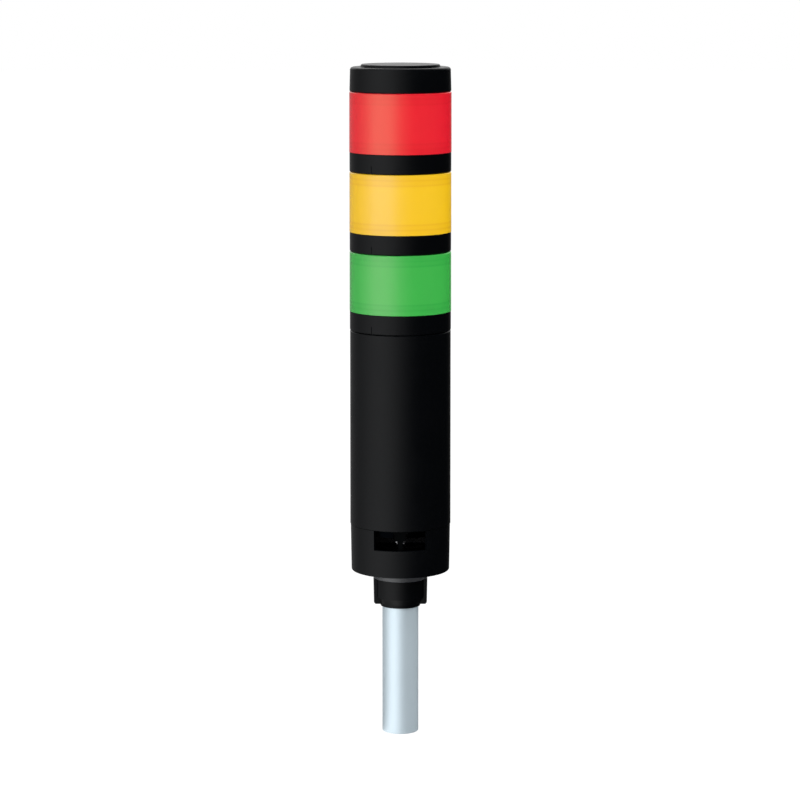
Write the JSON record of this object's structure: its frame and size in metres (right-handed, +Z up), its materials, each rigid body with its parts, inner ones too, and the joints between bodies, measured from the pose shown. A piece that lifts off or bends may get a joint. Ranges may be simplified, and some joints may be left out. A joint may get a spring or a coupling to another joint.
{
  "type": "stack light",
  "caption": "Pole-mounted signal tower: red, amber and green twist-lock light modules over a black body tube, base with a lock lever, clamp nut and aluminium pole.",
  "frame": {"origin": "centre of the pole's lower end, on the common axis", "axes": "+Z up the axis from the pole's lower end to the cap; the front, with the lever window, faces -Y; +X is to the right seen from the front"},
  "size_m": [0.0602, 0.0603, 0.4011],
  "materials": {
    "black_plastic": "fine matte moulded black plastic",
    "lever_plastic": "smooth moulded black plastic",
    "grey_plastic": "plain moulded grey plastic",
    "seal_rubber": "satin dark grey rubber",
    "pole_aluminium": "drawn and satin anodised aluminium",
    "red_lens": "light-scattering red plastic, smooth outside",
    "amber_lens": "light-scattering amber plastic, smooth outside",
    "green_lens": "light-scattering green plastic, smooth outside",
    "diffuser_plastic": "milky white plastic",
    "reflector_plastic": "smooth white plastic",
    "circuit_board": "solder-masked circuit board",
    "lamp_body": "small surface-mounted lamps",
    "block_plastic": "moulded insulating plastic",
    "contact_brass": "stamped plated brass",
    "screw_steel": "zinc-plated steel",
    "capacitor_can": "sleeved aluminium cans",
    "inductor_ferrite": "ferrite drum",
    "chip_resin": "moulded resin packages"
  },
  "bodies": {
    "base": {"pole": "pole_aluminium", "pole_nut": "black_plastic", "clamp_ring": "grey_plastic", "seal_ring": "seal_rubber", "mounting_base": "black_plastic", "terminal_block": "block_plastic", "terminal_screws": "screw_steel", "block_screws": "screw_steel", "link_pins": "contact_brass", "body_tube": "black_plastic", "control_board": "circuit_board", "board_socket": "block_plastic", "board_header": "block_plastic", "capacitors": "capacitor_can", "inductor": "inductor_ferrite", "driver_chips": "chip_resin", "body_contact_post": "block_plastic", "body_contacts": "contact_brass", "green_seal": "seal_rubber"},
    "lever": {"lock_lever": "lever_plastic"},
    "green_module": {"green_ring": "black_plastic", "green_lens": "green_lens", "green_diffuser": "diffuser_plastic", "green_light_board": "circuit_board", "green_lamps": "lamp_body", "green_reflector": "reflector_plastic", "green_contact_post": "block_plastic", "green_contacts": "contact_brass", "amber_seal": "seal_rubber"},
    "amber_module": {"amber_ring": "black_plastic", "amber_lens": "amber_lens", "amber_diffuser": "diffuser_plastic", "amber_light_board": "circuit_board", "amber_lamps": "lamp_body", "amber_reflector": "reflector_plastic", "amber_contact_post": "block_plastic", "amber_contacts": "contact_brass", "red_seal": "seal_rubber"},
    "red_module": {"red_ring": "black_plastic", "red_lens": "red_lens", "red_diffuser": "diffuser_plastic", "red_light_board": "circuit_board", "red_lamps": "lamp_body", "red_reflector": "reflector_plastic", "red_contact_post": "block_plastic", "red_contacts": "contact_brass", "cap_seal": "seal_rubber"},
    "top_cap": {"cap": "black_plastic"}
  },
  "joints": [
    {"name": "green_twist", "type": "hinge", "parent": "base", "child": "green_module", "pos_m": [0, 0, 0.2445], "axis": [0, 0, 1], "range_deg": [0, 30]},
    {"name": "amber_twist", "type": "hinge", "parent": "green_module", "child": "amber_module", "pos_m": [0, 0, 0.2914], "axis": [0, 0, 1], "range_deg": [0, 30]},
    {"name": "red_twist", "type": "hinge", "parent": "amber_module", "child": "red_module", "pos_m": [0, 0, 0.3383], "axis": [0, 0, 1], "range_deg": [0, 30]},
    {"name": "cap_twist", "type": "hinge", "parent": "red_module", "child": "top_cap", "pos_m": [0, 0, 0.3852], "axis": [0, 0, 1], "range_deg": [0, 30]},
    {"name": "lever_press", "type": "hinge", "parent": "base", "child": "lever", "pos_m": [0, -0.02545, 0.1141], "axis": [-1, 0, 0], "range_deg": [0, 16], "stiffness_Nm_per_rad": 0.02}
  ]
}
